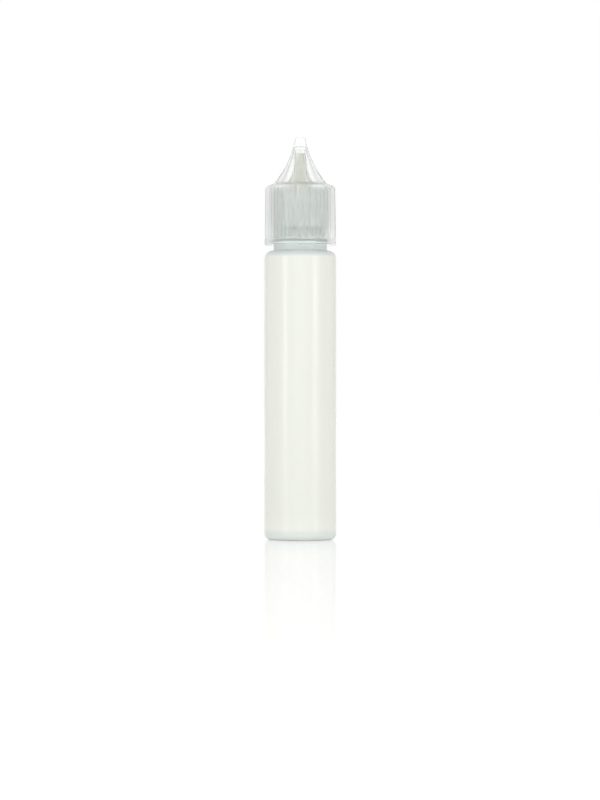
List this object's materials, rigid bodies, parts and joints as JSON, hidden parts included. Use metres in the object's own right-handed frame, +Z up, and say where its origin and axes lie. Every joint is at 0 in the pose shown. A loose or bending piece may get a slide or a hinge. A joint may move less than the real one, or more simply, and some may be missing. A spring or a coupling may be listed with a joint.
{
  "type": "squeeze dropper bottle",
  "caption": "Slim round squeeze bottle of translucent plastic with a pressed-in dropper plug and a clear ribbed two-layer screw cap that ends in a long pointed tip.",
  "frame": {"origin": "centre of the base, on the surface the bottle stands on", "axes": "+Z up along the bottle towards the tip; +X and +Y across it, and the outside is round, so they are free about Z"},
  "size_m": [0.022, 0.022, 0.1227],
  "materials": {
    "natural_polyethylene": "milky translucent, satin, blow-moulded",
    "plug_polyethylene": "milky translucent, smooth, injection-moulded",
    "clear_inner_cap": "cloudy, half clear, smooth, injection-moulded",
    "clear_outer_cap": "clear, polished, injection-moulded",
    "clear_tamper_band": "clear, smooth, injection-moulded"
  },
  "bodies": {
    "bottle": {"bottle_body": "natural_polyethylene", "dropper_plug": "plug_polyethylene"},
    "band": {"tamper_band": "clear_tamper_band"},
    "screw_cap": {"inner_cap": "clear_inner_cap"},
    "cap_shell": {"outer_cap": "clear_outer_cap"}
  },
  "joints": [
    {"name": "cap_turn", "type": "hinge", "parent": "bottle", "child": "band", "pos_m": [0, 0, 0.0912], "axis": [0, 0, 1], "range_deg": [0, 3600]},
    {"name": "cap_rise", "type": "slide", "parent": "band", "child": "screw_cap", "axis": [0, 0, 1], "range_m": [0, 0.0302]},
    {"name": "cap_press", "type": "slide", "parent": "screw_cap", "child": "cap_shell", "axis": [0, 0, 1], "range_m": [-0.0007, 0], "stiffness_N_per_m": 500, "springref_m": 0.0005}
  ],
  "couplings": [
    {"joint": "cap_rise", "follows": "cap_turn", "m_per_rad": 0.00047746}
  ]
}
